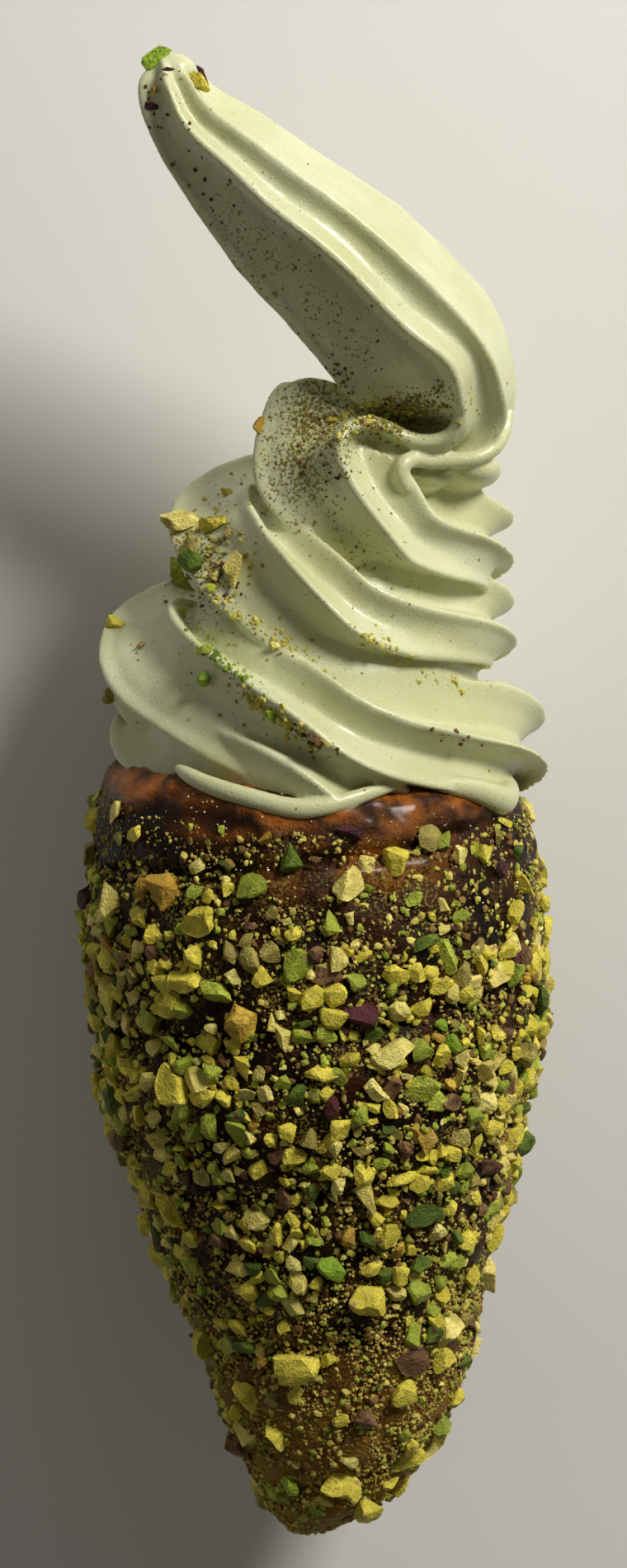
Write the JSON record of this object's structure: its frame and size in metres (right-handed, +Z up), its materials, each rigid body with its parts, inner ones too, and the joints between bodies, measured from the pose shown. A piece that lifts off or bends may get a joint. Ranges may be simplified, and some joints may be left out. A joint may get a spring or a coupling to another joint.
{
  "type": "chimney cake cone",
  "caption": "Spiral-wound pastry cone coated in chopped pistachio, filled with a tall star-ridged swirl of pistachio soft serve whose end folds over and leans.",
  "frame": {"origin": "middle of the underside the cone lies on", "axes": "+Y from the pastry's tip to the swirl's tip, +Z up through the shown side, +X to the right of the shown side with the swirl at the top"},
  "size_m": [0.0864, 0.2732, 0.0833],
  "materials": {
    "pastry": "baked dough, dark caramelised crust, rolled in chopped pistachio",
    "soft_serve": "smooth pistachio soft serve with a light satin sheen"
  },
  "bodies": {
    "root": {"pastry_cone": "pastry", "soft_serve": "soft_serve"}
  },
  "joints": []
}
